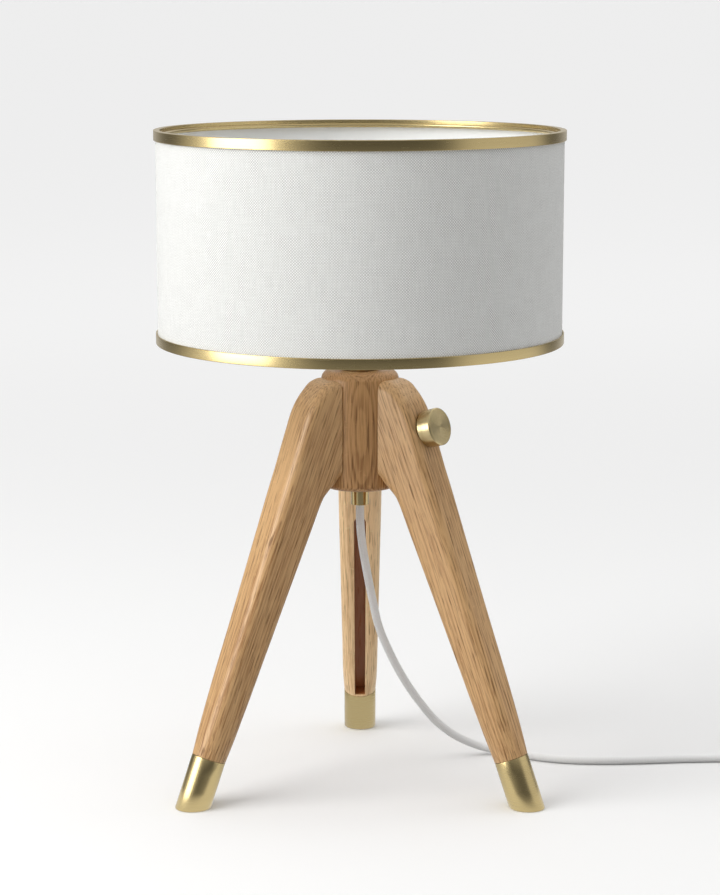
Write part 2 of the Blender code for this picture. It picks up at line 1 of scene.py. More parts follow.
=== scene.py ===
"""Table lamp: three splayed oak legs on brass caps, a turned oak hub, a linen drum shade and a braided cord.

Lengths are millimetres in the script and become metres when a mesh is made. +Z is up, the origin is on
the floor under the lamp's axis, and each leg is worked out in a plane of radius and height.
"""
import json
import math

import bpy
import numpy as np
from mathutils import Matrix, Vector


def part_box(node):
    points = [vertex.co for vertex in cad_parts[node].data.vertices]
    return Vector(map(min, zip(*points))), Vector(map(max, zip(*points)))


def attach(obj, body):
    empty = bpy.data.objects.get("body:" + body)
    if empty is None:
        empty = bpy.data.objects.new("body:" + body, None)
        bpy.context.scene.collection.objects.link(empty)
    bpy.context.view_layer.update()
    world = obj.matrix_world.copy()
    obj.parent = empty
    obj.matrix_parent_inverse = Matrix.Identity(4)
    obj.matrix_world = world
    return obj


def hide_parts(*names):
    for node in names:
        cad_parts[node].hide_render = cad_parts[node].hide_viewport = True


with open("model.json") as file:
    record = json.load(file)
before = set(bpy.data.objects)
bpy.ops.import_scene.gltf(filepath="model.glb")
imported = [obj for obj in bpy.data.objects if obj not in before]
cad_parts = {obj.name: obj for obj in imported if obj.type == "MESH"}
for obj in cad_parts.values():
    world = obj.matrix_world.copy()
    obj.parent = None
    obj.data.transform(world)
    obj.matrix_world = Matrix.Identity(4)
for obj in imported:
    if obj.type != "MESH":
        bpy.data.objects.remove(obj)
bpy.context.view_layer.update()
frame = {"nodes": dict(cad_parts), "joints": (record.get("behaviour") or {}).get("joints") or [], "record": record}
MM = 0.001
TURN = 2 * math.pi
QUARTER = TURN / 4


def span(node):
    """Lowest and highest height of a node of the frame, in millimetres."""
    low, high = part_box(node)
    return low.z / MM, high.z / MM


# ---------------------------------------------------------------- sizes
LEG_TURN = {"back": 90.0, "left": -150.0, "right": -30.0}
FOOT_R = 141.5                      # lamp axis to the middle of a foot on the floor
LEAN = math.radians(20.8)
CAP_R, CAP_LEN = 12.6, 38.0
HUB_LOW, HUB_TOP = span("hub")
HUB_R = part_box("hub")[1].y / MM
SHADE_LOW, SHADE_TOP = span("shade_band_bottom")[0], span("shade_band_top")[1]
SHADE_R = 150.0
FABRIC_R = 148.5
SKIN = 0.6                          # thickness of the linen and of its liner
BAND = 7.5                          # height of each brass edge
KNOB_R = 13.9
KNOB_FACE = 13.1                    # the knob's face, along its axis from the frame's knob joint
CORD_R = 3.1
BACK = QUARTER                      # heading of the shade's lap seam

JOINT = {joint["name"]: joint for joint in frame["joints"]}
UP = np.array((0.0, 0.0, 1.0))


# ---------------------------------------------------------------- materials as expressions
class Wire:
    """One value in a material; arithmetic on it adds the Math node that does it."""

    def __init__(self, bench, socket):
        self.bench = bench
        self.socket = socket

    def math(self, operation, *others):
        values = dict(enumerate((self,) + others))
        return self.bench.node("ShaderNodeMath", {"operation": operation}, values)

    def __add__(self, other):
        return self.math("ADD", other)

    def __mul__(self, other):
        return self.math("MULTIPLY", other)

    def __sub__(self, other):
        return self.math("SUBTRACT", other)

    def __rsub__(self, other):
        return self.bench.node("ShaderNodeMath", {"operation": "SUBTRACT"}, {0: other, 1: self})

    __radd__ = __add__
    __rmul__ = __mul__

    def step(self, low, high, start=0.0, end=1.0):
        """start below low, end above high, smooth between."""
        return self.bench.node("ShaderNodeMapRange", {"interpolation_type": "SMOOTHSTEP"},
                               {0: self, 1: low, 2: high, 3: start, 4: end})


class Bench:
    """A node tree and the ways to add to it."""

    def __init__(self, tree):
        self.tree = tree

    def put(self, socket, value):
        if isinstance(value, Wire):
            self.tree.links.new(value.socket, socket)
        elif socket.type == "RGBA" and len(value) == 3:
            socket.default_value = (*value, 1.0)
        else:
            socket.default_value = value

    def node(self, kind, settings=None, inputs=None, out=0):
        made = self.tree.nodes.new(kind)
        for name, value in (settings or {}).items():
            setattr(made, name, value)
        for name, value in (inputs or {}).items():
            self.put(made.inputs[name], value)
        return Wire(self, made.outputs[out])

    def place(self):
        return self.node("ShaderNodeTexCoord", out="Object")

    def marks(self, name):
        return self.node("ShaderNodeAttribute", {"attribute_name": name}, out="Vector")

    def ray(self, kind):
        """1 for rays of a kind such as Is Camera Ray, 0 for the others."""
        return self.node("ShaderNodeLightPath", out=kind)

    def parts(self, vector):
        split = self.node("ShaderNodeSeparateXYZ", None, {0: vector})
        return [Wire(self, output) for output in split.socket.node.outputs]

    def point(self, x, y, z=0.0):
        return self.node("ShaderNodeCombineXYZ", None, {0: x, 1: y, 2: z})

    def vector_math(self, operation, one, other=(0, 0, 0), out="Vector"):
        return self.node("ShaderNodeVectorMath", {"operation": operation}, {0: one, 1: other}, out)

    def length(self, vector):
        return self.vector_math("LENGTH", vector, out="Value")

    def stretch(self, vector, scale, shift=(0, 0, 0)):
        return self.node("ShaderNodeMapping", None, {"Vector": vector, "Scale": scale, "Location": shift})

    def noise(self, vector, scale=(1, 1, 1), detail=2.0, shift=(0, 0, 0), rough=0.5):
        """Noise from 0 to 1 whose features are 1/scale metres long on each axis."""
        return self.node("ShaderNodeTexNoise", None,
                         {"Vector": self.stretch(vector, scale, shift), "Scale": 1.0, "Detail": detail,
                          "Roughness": rough})

    def mix(self, share, first, second):
        """Colour first at share 0, second at share 1."""
        return self.node("ShaderNodeMix", {"data_type": "RGBA"}, {0: share, 6: first, 7: second}, out=2)

    def grey(self, value):
        """A colour whose three parts are one value."""
        return self.node("ShaderNodeCombineColor", None, {0: value, 1: value, 2: value})

    def bump(self, height, distance, strength=1.0):
        """Surface relief: height times distance, which is in millimetres."""
        return self.node("ShaderNodeBump", None,
                         {"Height": height, "Distance": distance * MM, "Strength": strength})


class Look(Bench):
    """A material being made, with its shader."""

    def __init__(self, name, **constants):
        self.look = bpy.data.materials.new(name)
        self.look.use_nodes = True
        super().__init__(self.look.node_tree)
        self.shader = self.tree.nodes["Principled BSDF"]
        self.set(**constants)

    def set(self, **sockets):
        """Values or wires for the shader's sockets; an underscore stands for a space."""
        for name, value in sockets.items():
            self.put(self.shader.inputs[name.replace("_", " ")], value)
        return self.look


def times(colour, gain):
    """A colour made lighter or darker, kept within white."""
    return tuple(min(1.0, part * gain) for part in colour)


def oak(name, light, dark, pith, loops=0.03, seed=0.0, pitch=2.4, banding=0.22, groove=0.0):
    """Oiled oak. Rings pitch apart lie round a pith line, banding gives their contrast, and loops bends them
    into cathedrals along the board. groove is how strongly painted shade darkens the cable groove's faces."""
    bench = Look(name, Specular_IOR_Level=0.33, Coat_Roughness=0.24)
    grain = bench.marks("grain")
    across, deep, along = bench.parts(grain)
    drift = bench.noise(grain, (22, 22, 5), 2.0, (seed, 0, 0)) - 0.5
    wander = bench.noise(grain, (90, 90, 9), 2.0, (0, seed, 0)) - 0.5
    offset = bench.point(across - pith[0] * MM, deep - pith[1] * MM, (along - pith[2] * MM) * loops)
    rings = (bench.length(offset) * (1 / (pitch * MM)) + drift * 2.6 + wander * 0.6).math("FRACT")
    early = rings.step(0.0, 0.16) * rings.step(0.30, 0.85, 1.0, 0.0)
    fibre = bench.noise(grain, (820, 820, 30), 3.0, (seed, seed, 0), 0.65)
    fine = bench.noise(grain, (1500, 1500, 40), 2.0, (0, seed, seed))
    pores = bench.noise(grain, (900, 900, 55), 1.0, (seed, 0, seed)).step(0.56, 0.68) * (early * 0.6 + 0.4)
    flecks = bench.noise(grain, (160, 700, 240), 1.0, (seed, 5, 0)).step(0.66, 0.74)
    broad = bench.noise(grain, (28, 28, 7), 2.0, (3, seed, 0))
    tone = early * banding + fibre.step(0.34, 0.68) * 0.50 + (fine - 0.5) * 0.45 + (broad - 0.5) * 0.95 - 0.07
    colour = bench.mix(tone.step(0.0, 1.0), light, dark)
    colour = bench.mix(pores * 0.65, colour, times(dark, 0.45))
    colour = bench.mix(flecks * 0.22, colour, times(light, 1.25))
    if groove:
        past_face = deep + 0.0122 + (along - 0.04) * 0.025      # metres in from the leg's sloping inner face
        inside = past_face.step(0.0003, 0.0022) * deep.step(0.002, 0.004, 1.0, 0.0)
        inside = inside * across.math("ABSOLUTE").step(0.0044, 0.0052, 1.0, 0.0)
        inside = inside * along.step(0.2105, 0.2125, 1.0, 0.0)
        # painted shade: the cable groove's faces darkened towards deep red brown, on top of the shade its depth
        # casts
        colour = bench.mix(inside * groove, colour, (0.34, 0.08, 0.004))
    height = 1 - pores * 0.9 - early * 0.06 + fine * 0.25
    return bench.set(Base_Color=colour, Roughness=0.40 + tone * 0.10 + pores * 0.2,
                     Coat_Weight=0.24 - pores * 0.2, Normal=bench.bump(height, 0.10, 0.4))


def brushed(name, base, rough, lines, depth=0.004, cloud=30.0, mottle=0.18):
    """Metal with fine drawn lines: lines gives how closely they lie on each axis, per metre."""
    bench = Look(name, Metallic=1.0)
    place = bench.place()
    drawn = bench.noise(place, lines, 3.0, (1, 2, 3), 0.65)
    dull = bench.noise(place, (cloud, cloud, cloud), 3.0)
    warmer = (base[0] * 0.92, base[1] * 0.86, base[2] * 0.72)
    colour = bench.mix(drawn.step(0.25, 0.8) * 0.35, base, times(base, 0.80))
    colour = bench.mix(dull.step(0.35, 0.75) * mottle, colour, warmer)
    return bench.set(Base_Color=colour, Roughness=rough + (drawn - 0.5) * 0.08 + (dull - 0.5) * mottle * 0.3,
                     Normal=bench.bump(drawn, depth, 0.3))


def faced(name, base, rough, centre, way, pitch, face):
    """Metal turned on a lathe: fine grooves round the line through centre along way, deepest on the face."""
    bench = Look(name, Metallic=1.0)
    place = bench.place()
    local = bench.vector_math("SUBTRACT", place, tuple(centre))
    radius = bench.length(bench.vector_math("CROSS_PRODUCT", local, tuple(way)))
    depth = bench.vector_math("DOT_PRODUCT", local, tuple(way), "Value")
    groove = ((radius + depth) * (TURN / (pitch * MM))).math("SINE") * 0.5 + 0.5
    uneven = bench.noise(bench.point(radius * 4000, depth * 4000), (1, 1, 1), 2.0)
    dull = bench.noise(place, (60, 60, 60), 2.0)
    colour = bench.mix(uneven.step(0.3, 0.7) * 0.30, base, times(base, 0.78))
    cut = depth.step((face - 0.8) * MM, (face - 0.2) * MM, 0.2, 1.0)
    return bench.set(Base_Color=colour, Roughness=rough + (dull - 0.5) * 0.08,
                     Normal=bench.bump((groove * 0.5 + uneven) * cut, pitch * 0.5, 1.0))


def plain(name, base, rough, grain=400.0, depth=0.02, vary=0.06, **more):
    """Moulded, glazed or painted finish with a faint surface texture and a slight change of tone."""
    bench = Look(name, **more)
    place = bench.place()
    texture = bench.noise(place, (grain, grain, grain), 2.0)
    tone = bench.noise(place, (24, 24, 24), 2.0)
    colour = bench.mix(tone.step(0.3, 0.7), base, times(base, 1 - vary))
    return bench.set(Base_Color=colour, Roughness=rough + (tone - 0.5) * 0.1,
                     Normal=bench.bump(texture, depth, 0.4))


def linen(name, pitch=0.98):
    """Plain weave round the lamp's axis: warp threads stand up, weft threads go round, both slubbed."""
    bench = Look(name, Roughness=0.92, Specular_IOR_Level=0.15, Sheen_Weight=0.10, Sheen_Roughness=0.5)
    x, y, z = bench.parts(bench.place())
    around = bench.node("ShaderNodeMath", {"operation": "ARCTAN2"}, {0: x, 1: 0 - y}) * (FABRIC_R * MM)
    flat = bench.point(around, z)
    thread = math.pi / (pitch * MM)
    wobble = (bench.noise(flat, (260, 40, 1), 2.0) - 0.5) * 0.0009
    sway = (bench.noise(flat, (40, 260, 1), 2.0, (7, 3, 0)) - 0.5) * 0.0009
    warp = ((around + wobble) * thread).math("SINE")
    weft = ((z + sway) * thread).math("SINE")
    over = (warp * weft).step(-0.2, 0.2)
    height = over * warp.math("ABSOLUTE") + (1 - over) * weft.math("ABSOLUTE")
    slub_up = bench.noise(flat, (900, 60, 1), 3.0, (2, 9, 0), 0.6)
    slub_round = bench.noise(flat, (55, 820, 1), 3.0, (5, 1, 0), 0.6)
    knots = bench.noise(flat, (420, 420, 1), 1.0, (4, 4, 0)).step(0.70, 0.80)
    patch = bench.noise(flat, (75, 75, 1), 2.0, (1, 6, 0)).step(0.30, 0.70, 0.45, 1.35)
    shade = 0.83 + (over - 0.5) * patch * 0.28 + (height - 0.55) * 0.16
    shade = shade + (slub_up - 0.5) * 0.16 + (slub_round - 0.5) * 0.12
    colour = bench.mix(shade.step(0.50, 1.10), (0.50, 0.50, 0.485), (0.96, 0.965, 0.95))
    colour = bench.mix(knots * 0.25, colour, (0.70, 0.69, 0.64))
    relief = height + over * patch * 0.7 + slub_up * 0.5 + slub_round * 0.4
    return bench.set(Base_Color=colour, Normal=bench.bump(relief, 0.11, 0.6))


def braid(name, strands=9, pitch=2.3):
    """Woven sleeve: two sets of strands cross as they go round the cord. Its UV map is turns and metres."""
    bench = Look(name, Roughness=0.75, Specular_IOR_Level=0.25, Sheen_Weight=0.15)
    round_it, along, _ = bench.parts(bench.node("ShaderNodeUVMap", {"uv_map": "lay"}))
    turn, run = round_it * (TURN * strands), along * (TURN / (pitch * MM))
    cross = (turn + run).math("SINE") * (turn - run).math("SINE") * 0.5 + 0.5
    hair = bench.noise(bench.point(round_it * 60, along * 2600), (1, 1, 1), 2.0)
    tone = bench.noise(bench.point(round_it * 2, along * 60), (1, 1, 1), 2.0)
    colour = bench.mix((cross * 0.3 + hair * 0.6).step(0.05, 0.85), (0.78, 0.78, 0.78), (0.96, 0.96, 0.96))
    colour = bench.mix((tone - 0.3) * 0.2, colour, (0.84, 0.84, 0.82))
    return bench.set(Base_Color=colour, Normal=bench.bump(cross + hair * 0.3, 0.03, 0.4))


LIGHT_OAK, DARK_OAK = (0.660, 0.405, 0.188), (0.335, 0.160, 0.055)
# painted light: a lighter copy of the oak for the back leg, standing in for stronger light falling on it
BACK_LEG_LIT_OAK, BACK_LEG_LIT_DARK = (0.970, 0.695, 0.395), (0.680, 0.420, 0.205)
HUB_OAK, HUB_DARK = (0.550, 0.300, 0.118), (0.290, 0.132, 0.043)
BRASS = (0.600, 0.475, 0.235)

LOOK = {
    "brass_satin": brushed("brass_satin", BRASS, 0.26, (30, 30, 2600), 0.0008, 12.0, 0.10),
    "brass_bright": brushed("brass_bright", BRASS, 0.20, (1500, 1500, 30)),
    "contact_brass": brushed("contact_brass", (0.62, 0.46, 0.20), 0.30, (900, 900, 900)),
    "steel": brushed("zinc_steel", (0.60, 0.60, 0.58), 0.34, (800, 800, 800)),
    "plug_pin": brushed("nickel_pin", (0.66, 0.64, 0.60), 0.22, (900, 900, 900)),
    "holder_white": plain("holder_white", (0.80, 0.79, 0.76), 0.30),
    "holder_ceramic": plain("glazed_ceramic", (0.82, 0.81, 0.77), 0.22, 90, 0.05),
    "insulator_black": plain("black_glass", (0.02, 0.02, 0.022), 0.12),
    "switch_black": plain("moulded_black", (0.022, 0.022, 0.024), 0.45),
    "wire_white": plain("powder_coat", (0.80, 0.80, 0.78), 0.42, 1400, 0.05),
    "liner": plain("liner_film", (0.955, 0.97, 0.965), 0.6, 260, 0.03, 0.01),
    "bulb_opal": plain("opal_glass", (0.90, 0.90, 0.88), 0.16, 30, 0.01, 0.02, Coat_Weight=0.4),
    "pad_rubber": plain("pad_rubber", (0.030, 0.028, 0.026), 0.75, 1500, 0.05),
    "lead_pvc": plain("lead_sleeve", (0.72, 0.72, 0.70), 0.40),
    "plug_white": plain("plug_white", (0.78, 0.78, 0.76), 0.38, 900, 0.03),
    "tie_white": plain("tie_white", (0.70, 0.70, 0.68), 0.55),
    "linen": linen("linen"),
    "braid": braid("braid"),
}


# ---------------------------------------------------------------- shapes
def smooth(knots, values, at):
    """Values between knots on cubic curves whose slope at each knot is the mean of its neighbours' slopes."""
    knots, values, at = np.asarray(knots, float), np.asarray(values, float), np.asarray(at, float)
    slopes = np.gradient(values, knots, axis=0)
    k = np.clip(np.searchsorted(knots, at, "right") - 1, 0, len(knots) - 2)
    wide = knots[k + 1] - knots[k]
    t = (at - knots[k]) / wide
    if values.ndim == 2:
        wide, t = wide[:, None], t[:, None]
    stay, pull = 2 * t ** 3 - 3 * t ** 2 + 1, t ** 3 - 2 * t ** 2 + t
    return (stay * values[k] + (1 - stay) * values[k + 1]
            + wide * (pull * slopes[k] + (t ** 3 - t ** 2) * slopes[k + 1]))


def between(table, at):
    """A measure read from pairs of distance and value, on straight lines."""
    return np.interp(at, [row[0] for row in table], [row[1] for row in table])


def round_off(outline, radius, steps=4, closed=False):
    """An outline of (r, z) corners with each corner cut back by radius and turned on a short parabola."""
    corners = np.asarray(outline, float)
    rows = []
    for k, corner in enumerate(corners):
        if not closed and k in (0, len(corners) - 1):
            rows.append(corner[None])
            continue
        before, after = corners[k - 1] - corner, corners[(k + 1) % len(corners)] - corner
        long_before, long_after = np.linalg.norm(before), np.linalg.norm(after)
        reach = min(radius, 0.45 * long_before, 0.45 * long_after)
        start, end = corner + before * reach / long_before, corner + after * reach / long_after
        t = np.linspace(0, 1, steps + 1)[:, None]
        rows.append((1 - t) ** 2 * start + 2 * t * (1 - t) * corner + t ** 2 * end)
    return np.vstack(rows)


def rounded(wide, tall, corner, steps):
    """Points round a rectangle, as across and up: wide and tall are half its sizes, and each round corner has
    steps points. Columns of sizes give a row of points each."""
    angle = ((np.arange(4)[:, None] + np.linspace(0, 1, steps)) * QUARTER).ravel()
    across = np.repeat((1, -1, -1, 1), steps) * (wide - corner) + corner * np.cos(angle)
    up = np.repeat((1, 1, -1, -1), steps) * (tall - corner) + corner * np.sin(angle)
    return across, up


def skin(name, rings, loop=False, run=None):
    """Mesh over rings[row, around]: four-sided faces between neighbours, and a fan over each end unless the
    rows close on themselves. The faces are turned to enclose a positive volume. run gives each row's
    distance, and makes the UV map "lay" of turns and metres."""
    rows, around = rings.shape[:2]
    row = np.arange(rows if loop else rows - 1)[:, None]
    k = np.arange(around)[None, :]
    after, beside = (row + 1) % rows, (k + 1) % around
    here, there = row * around, after * around
    faces = np.stack([here + k, here + beside, there + beside, there + k], -1).reshape(-1, 4)
    points = rings.reshape(-1, 3)
    fans = np.zeros((0, 3), int)
    if not loop:
        points = np.vstack([points, rings[0].mean(0), rings[-1].mean(0)])
        ring, last = np.arange(around), (rows - 1) * around
        first_fan = np.stack([np.full(around, rows * around), (ring + 1) % around, ring], -1)
        last_fan = np.stack([np.full(around, rows * around + 1), last + ring, last + (ring + 1) % around], -1)
        fans = np.vstack([first_fan, last_fan])
    triangles = np.vstack([faces[:, :3], faces[:, [0, 2, 3]], fans])
    a, b, c = (points[triangles[:, n]] for n in range(3))
    if np.einsum("ij,ij->", a, np.cross(b, c)) < 0:
        faces, fans = faces[:, ::-1], fans[:, ::-1]
    mesh = bpy.data.meshes.new(name)
    mesh.from_pydata((points * MM).tolist(), [], faces.tolist() + fans.tolist())
    if run is not None:
        column = faces % around
        seam = (column == 0) & (column.max(1) == around - 1)[:, None]       # where a face ends the turn
        turns = (column + around * seam) / around
        lay = np.zeros((len(faces) * 4 + len(fans) * 3, 2))
        lay[:len(faces) * 4] = np.stack([turns, run[faces // around] * MM], -1).reshape(-1, 2)
        mesh.uv_layers.new(name="lay").data.foreach_set("uv", lay.astype(np.float32).ravel())
    made = bpy.data.objects.new(name, mesh)
    bpy.context.scene.collection.objects.link(made)
    return made


def finish(piece, body, look, nodes=(), crisp=38.0):
    """Smooth shading with sharp edges over crisp degrees, its look, its body and the nodes it stands for."""
    piece.data.polygons.foreach_set("use_smooth", np.ones(len(piece.data.polygons), bool))
    piece.data.set_sharp_from_angle(angle=math.radians(crisp))
    piece.data.materials.clear()
    piece.data.materials.append(LOOK[look] if isinstance(look, str) else look)
    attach(piece, body)
    if nodes:
        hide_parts(*nodes)
    return piece


def frame_of(way):
    """Two unit vectors square to way and to each other."""
    way = np.asarray(way, float)
    side = np.cross(way, UP if abs(way[2]) < 0.9 else (1.0, 0.0, 0.0))
    side /= np.linalg.norm(side)
    return side, np.cross(way, side)


def spin(outline, around=96, centre=(0, 0, 0), way=UP):
    """Rings of an outline of (radius, distance along way), carried round the line through centre."""
    outline, way = np.asarray(outline, float), np.asarray(way, float)
    side, other = frame_of(way)
    angle = np.linspace(0, TURN, around, endpoint=False)
    ring = np.cos(angle)[:, None] * side + np.sin(angle)[:, None] * other
    return np.asarray(centre, float) + outline[:, :1, None] * ring + outline[:, 1:, None] * way


def carry(path, radius, around=24, lead=None):
    """Rings of a round tube along a path; lead is the side vector used where the path is upright."""
    path = np.asarray(path, float)
    way = np.gradient(path, axis=0)
    way /= np.linalg.norm(way, axis=1)[:, None]
    level = np.clip(np.hypot(way[:, 0], way[:, 1]) * 1.4 - 0.3, 0, 1)[:, None]
    start = np.asarray(frame_of(way[0])[0] if lead is None else lead, float)
    side = np.cross(UP, way) * level + start * (1 - level)
    side -= way * np.einsum("ij,ij->i", side, way)[:, None]
    side /= np.linalg.norm(side, axis=1)[:, None]
    other = np.cross(way, side)
    angle = np.linspace(0, TURN, around, endpoint=False)[None, :, None]
    ring = np.cos(angle) * side[:, None] + np.sin(angle) * other[:, None]
    return path[:, None] + np.reshape(radius, (-1, 1, 1)) * ring


def turned(rings, degrees):
    """Points or rings swung round the lamp's axis."""
    c, s = math.cos(math.radians(degrees)), math.sin(math.radians(degrees))
    return np.asarray(rings) @ np.array(((c, s, 0), (-s, c, 0), (0, 0, 1.0)))


def carve(piece, tool):
    """Cuts tool out of piece for good and removes it."""
    cut = piece.modifiers.new("cut", "BOOLEAN")
    cut.object, cut.operation, cut.solver = tool, "DIFFERENCE", "EXACT"
    bpy.context.view_layer.update()
    mesh = bpy.data.meshes.new_from_object(piece.evaluated_get(bpy.context.evaluated_depsgraph_get()))
    piece.modifiers.clear()
    piece.data = mesh
    bpy.data.objects.remove(tool, do_unlink=True)


def mark_grain(piece, origin, across, deep, along):
    """Stores each point's place in the board: across it, into it and along it, in metres."""
    spots = np.zeros(len(piece.data.vertices) * 3, np.float32)
    piece.data.vertices.foreach_get("co", spots)
    board = np.stack([across, deep, along]).astype(float)
    spots = (spots.reshape(-1, 3) - np.asarray(origin) * MM) @ board.T
    grain = piece.data.attributes.new("grain", "FLOAT_VECTOR", "POINT")
    grain.data.foreach_set("vector", spots.astype(np.float32).ravel())


# ---------------------------------------------------------------- hub
LOW_ROUND, TOP_ROUND = 5.0, 7.0     # radius of the hub's lower and upper rim
low_arc, top_arc = np.linspace(0.15, QUARTER, 9), np.linspace(0, QUARTER, 11)
hub_outline = np.vstack([
    [(11.0, HUB_LOW), (13.4, HUB_LOW), (HUB_R - LOW_ROUND, HUB_LOW)],
    np.column_stack([HUB_R - LOW_ROUND * (1 - np.sin(low_arc)), HUB_LOW + LOW_ROUND * (1 - np.cos(low_arc))]),
    [(HUB_R, z) for z in np.linspace(HUB_LOW + 8, HUB_TOP - 10, 12)],
    np.column_stack([HUB_R - TOP_ROUND * (1 - np.cos(top_arc)), HUB_TOP - TOP_ROUND * (1 - np.sin(top_arc))]),
    [(12.0, HUB_TOP)]])
hub = skin("oak_hub", spin(hub_outline, 144))
mark_grain(hub, (0, 0, (HUB_LOW + HUB_TOP) / 2), (1, 0, 0), (0, 1, 0), (0, 0, 1))
hub_look = oak("oak_hub", HUB_OAK, HUB_DARK, (1.0, -17.5, 0.0), loops=0.17, seed=3.1, pitch=1.3, banding=0.34)
finish(hub, "base", hub_look, ["hub"])

# ---------------------------------------------------------------- legs
AXIS_UP = np.array((-math.sin(LEAN), math.cos(LEAN)))          # in a leg's plane: outward, up
AXIS_OUT = np.array((math.cos(LEAN), math.sin(LEAN)))
FOOT = np.array((FOOT_R, 0.0))
# by distance up the leg: centre line to inner face, to outer face and to either flank, and the corner radius
INNER = [(38.3, 12.6), (70, 12.6), (88, 12.8), (110, 13.3), (134, 14.1), (168, 15.2), (200, 16.3),
         (243, 17.8)]
OUTER = [(38.3, 12.6), (70, 12.65), (100, 12.85), (134, 13.4), (168, 14.1), (200, 14.9), (244, 16.1)]
FLANK = [(38.3, 12.6), (45, 13.1), (57, 13.7), (72, 13.95), (88, 14.1), (116, 14.6), (163, 15.4),
         (210, 16.25), (243, 16.7)]
CORNER = [(38.3, 12.6), (45, 12.0), (57, 10.6), (72, 9.2), (95, 7.6)]
STATIONS = np.array((38.3, 41, 44, 52, 62, 75, 92, 112, 136, 162, 190, 218))
# the leg's head: inner and outer edge of each section in the leg's plane, from the straight part to the hub
HEAD = np.array([
    ((37.8, 222.1), (69.7, 234.1)), ((34.9, 225.8), (65.2, 246.5)), ((32.3, 228.5), (62.0, 256.0)),
    ((30.3, 230.4), (58.7, 265.5)), ((28.8, 231.7), (55.5, 274.5)), ((27.7, 232.9), (52.5, 283.0)),
    ((26.9, 233.9), (49.2, 290.3)), ((26.3, 234.8), (45.2, 296.6)), ((25.9, 235.5), (40.9, 301.7)),
    ((25.7, 236.0), (36.3, 306.2)), ((25.5, 236.4), (31.0, 308.5)), ((24.6, 236.8), (24.6, 309.0))])
HEAD_FLANK = [(234, 16.7), (256, 16.8)]                        # by height
HEAD_CORNER = 7.5
# the round end inside the cap: distance up the leg, radius
TENON = np.array([(30.0, 11.4), (38.0, 11.4), (38.05, 12.15), (38.15, 12.4)])
ROWS = 8                                                       # rows of points from one section to the next


def section_rings(inner, outer, width, corner, steps=8, flats=6):
    """Rings across the leg's plane: a rectangle from inner to outer edge, 2 width wide, with steps points on
    each round corner and flats points along each side."""
    middle, reach = (inner + outer) / 2, (outer - inner) / 2
    depth = np.linalg.norm(reach, axis=1)
    outward = reach / depth[:, None]
    corner = np.minimum(corner, np.minimum(depth, width) - 0.01)[:, None]
    across, out = rounded(width[:, None], depth[:, None], corner, steps)
    arcs = np.stack([across, out], -1).reshape(len(inner), 4, steps, 2)
    share = (np.arange(1, flats + 1) / (flats + 1))[:, None]
    follow = np.roll(arcs[:, :, 0], -1, axis=1)
    sides = arcs[:, :, -1:] * (1 - share) + follow[:, :, None] * share
    flat = np.concatenate([arcs, sides], 2).reshape(len(inner), -1, 2)
    plane = middle[:, None] + flat[:, :, 1:] * outward[:, None]
    return np.stack([plane[:, :, 0], flat[:, :, 0], plane[:, :, 1]], -1)


def leg_rings():
    """The leg in its plane, from inside its cap to the hub, on smooth curves through its sections."""
    foot = FOOT + AXIS_UP * STATIONS[:, None]
    inner = np.vstack([foot - AXIS_OUT * between(INNER, STATIONS)[:, None], HEAD[:, 0]])
    outer = np.vstack([foot + AXIS_OUT * between(OUTER, STATIONS)[:, None], HEAD[:, 1]])
    width = np.concatenate([between(FLANK, STATIONS), between(HEAD_FLANK, HEAD[:, 1, 1])])
    corner = np.concatenate([between(CORNER, STATIONS), np.full(len(HEAD), HEAD_CORNER)])
    track = inner / 4 + outer * 0.75
    run = np.concatenate([[0], np.cumsum(np.linalg.norm(np.diff(track, axis=0), axis=1))])
    table = np.column_stack([inner, outer, width, corner])
    fine = np.interp(np.arange(ROWS * (len(run) - 1) + 1) / ROWS, np.arange(len(run)), run)
    rows = smooth(run, table, fine)
    main = section_rings(rows[:, 0:2], rows[:, 2:4], rows[:, 4], rows[:, 5])
    place, thick = FOOT + AXIS_UP * TENON[:, :1], AXIS_OUT * TENON[:, 1:]
    tight = section_rings(place - thick, place + thick, TENON[:, 1], TENON[:, 1])
    return np.vstack([tight, main])


def groove_rings():
    """The cable groove in the back leg's inner face: a bar with an arched top, flared at the face."""
    low, high = 39.4, 210.8                        # the groove's ends up the leg
    half_low, half_high = 4.0, 4.6                 # half its width at them
    face_low, face_high = 12.3, 16.6               # centre line to the leg's face at them
    shoulder = high - half_high
    arch = np.linspace(0, math.pi, 25)
    rise = np.linspace(0, 1, 12)[:, None]
    rows = []
    for depth, flare in ((-6, 5.5), (0.0, 0.9), (0.15, 0.5), (0.4, 0.2), (0.8, 0.0), (12.0, 0.0)):
        half = half_high + flare
        top = np.column_stack([shoulder + half * np.sin(arch), half * np.cos(arch)])
        flank = np.array((shoulder, half)) * rise + np.array((low - flare, half_low + flare)) * (1 - rise)
        outline = np.vstack([flank[:-1], top, flank[-2::-1] * (1, -1)])
        inward = between([(low, face_low), (high, face_high)], outline[:, 0])[:, None] - depth
        place = FOOT + AXIS_UP * outline[:, :1] - AXIS_OUT * inward
        rows.append(np.column_stack([place[:, 0], outline[:, 1], place[:, 1]]))
    return np.array(rows)


knob_centre = np.array(JOINT["knob_turn"]["pos_m"]) / MM
knob_way = np.array(JOINT["knob_turn"]["axis"])
knob_way /= np.linalg.norm(knob_way)
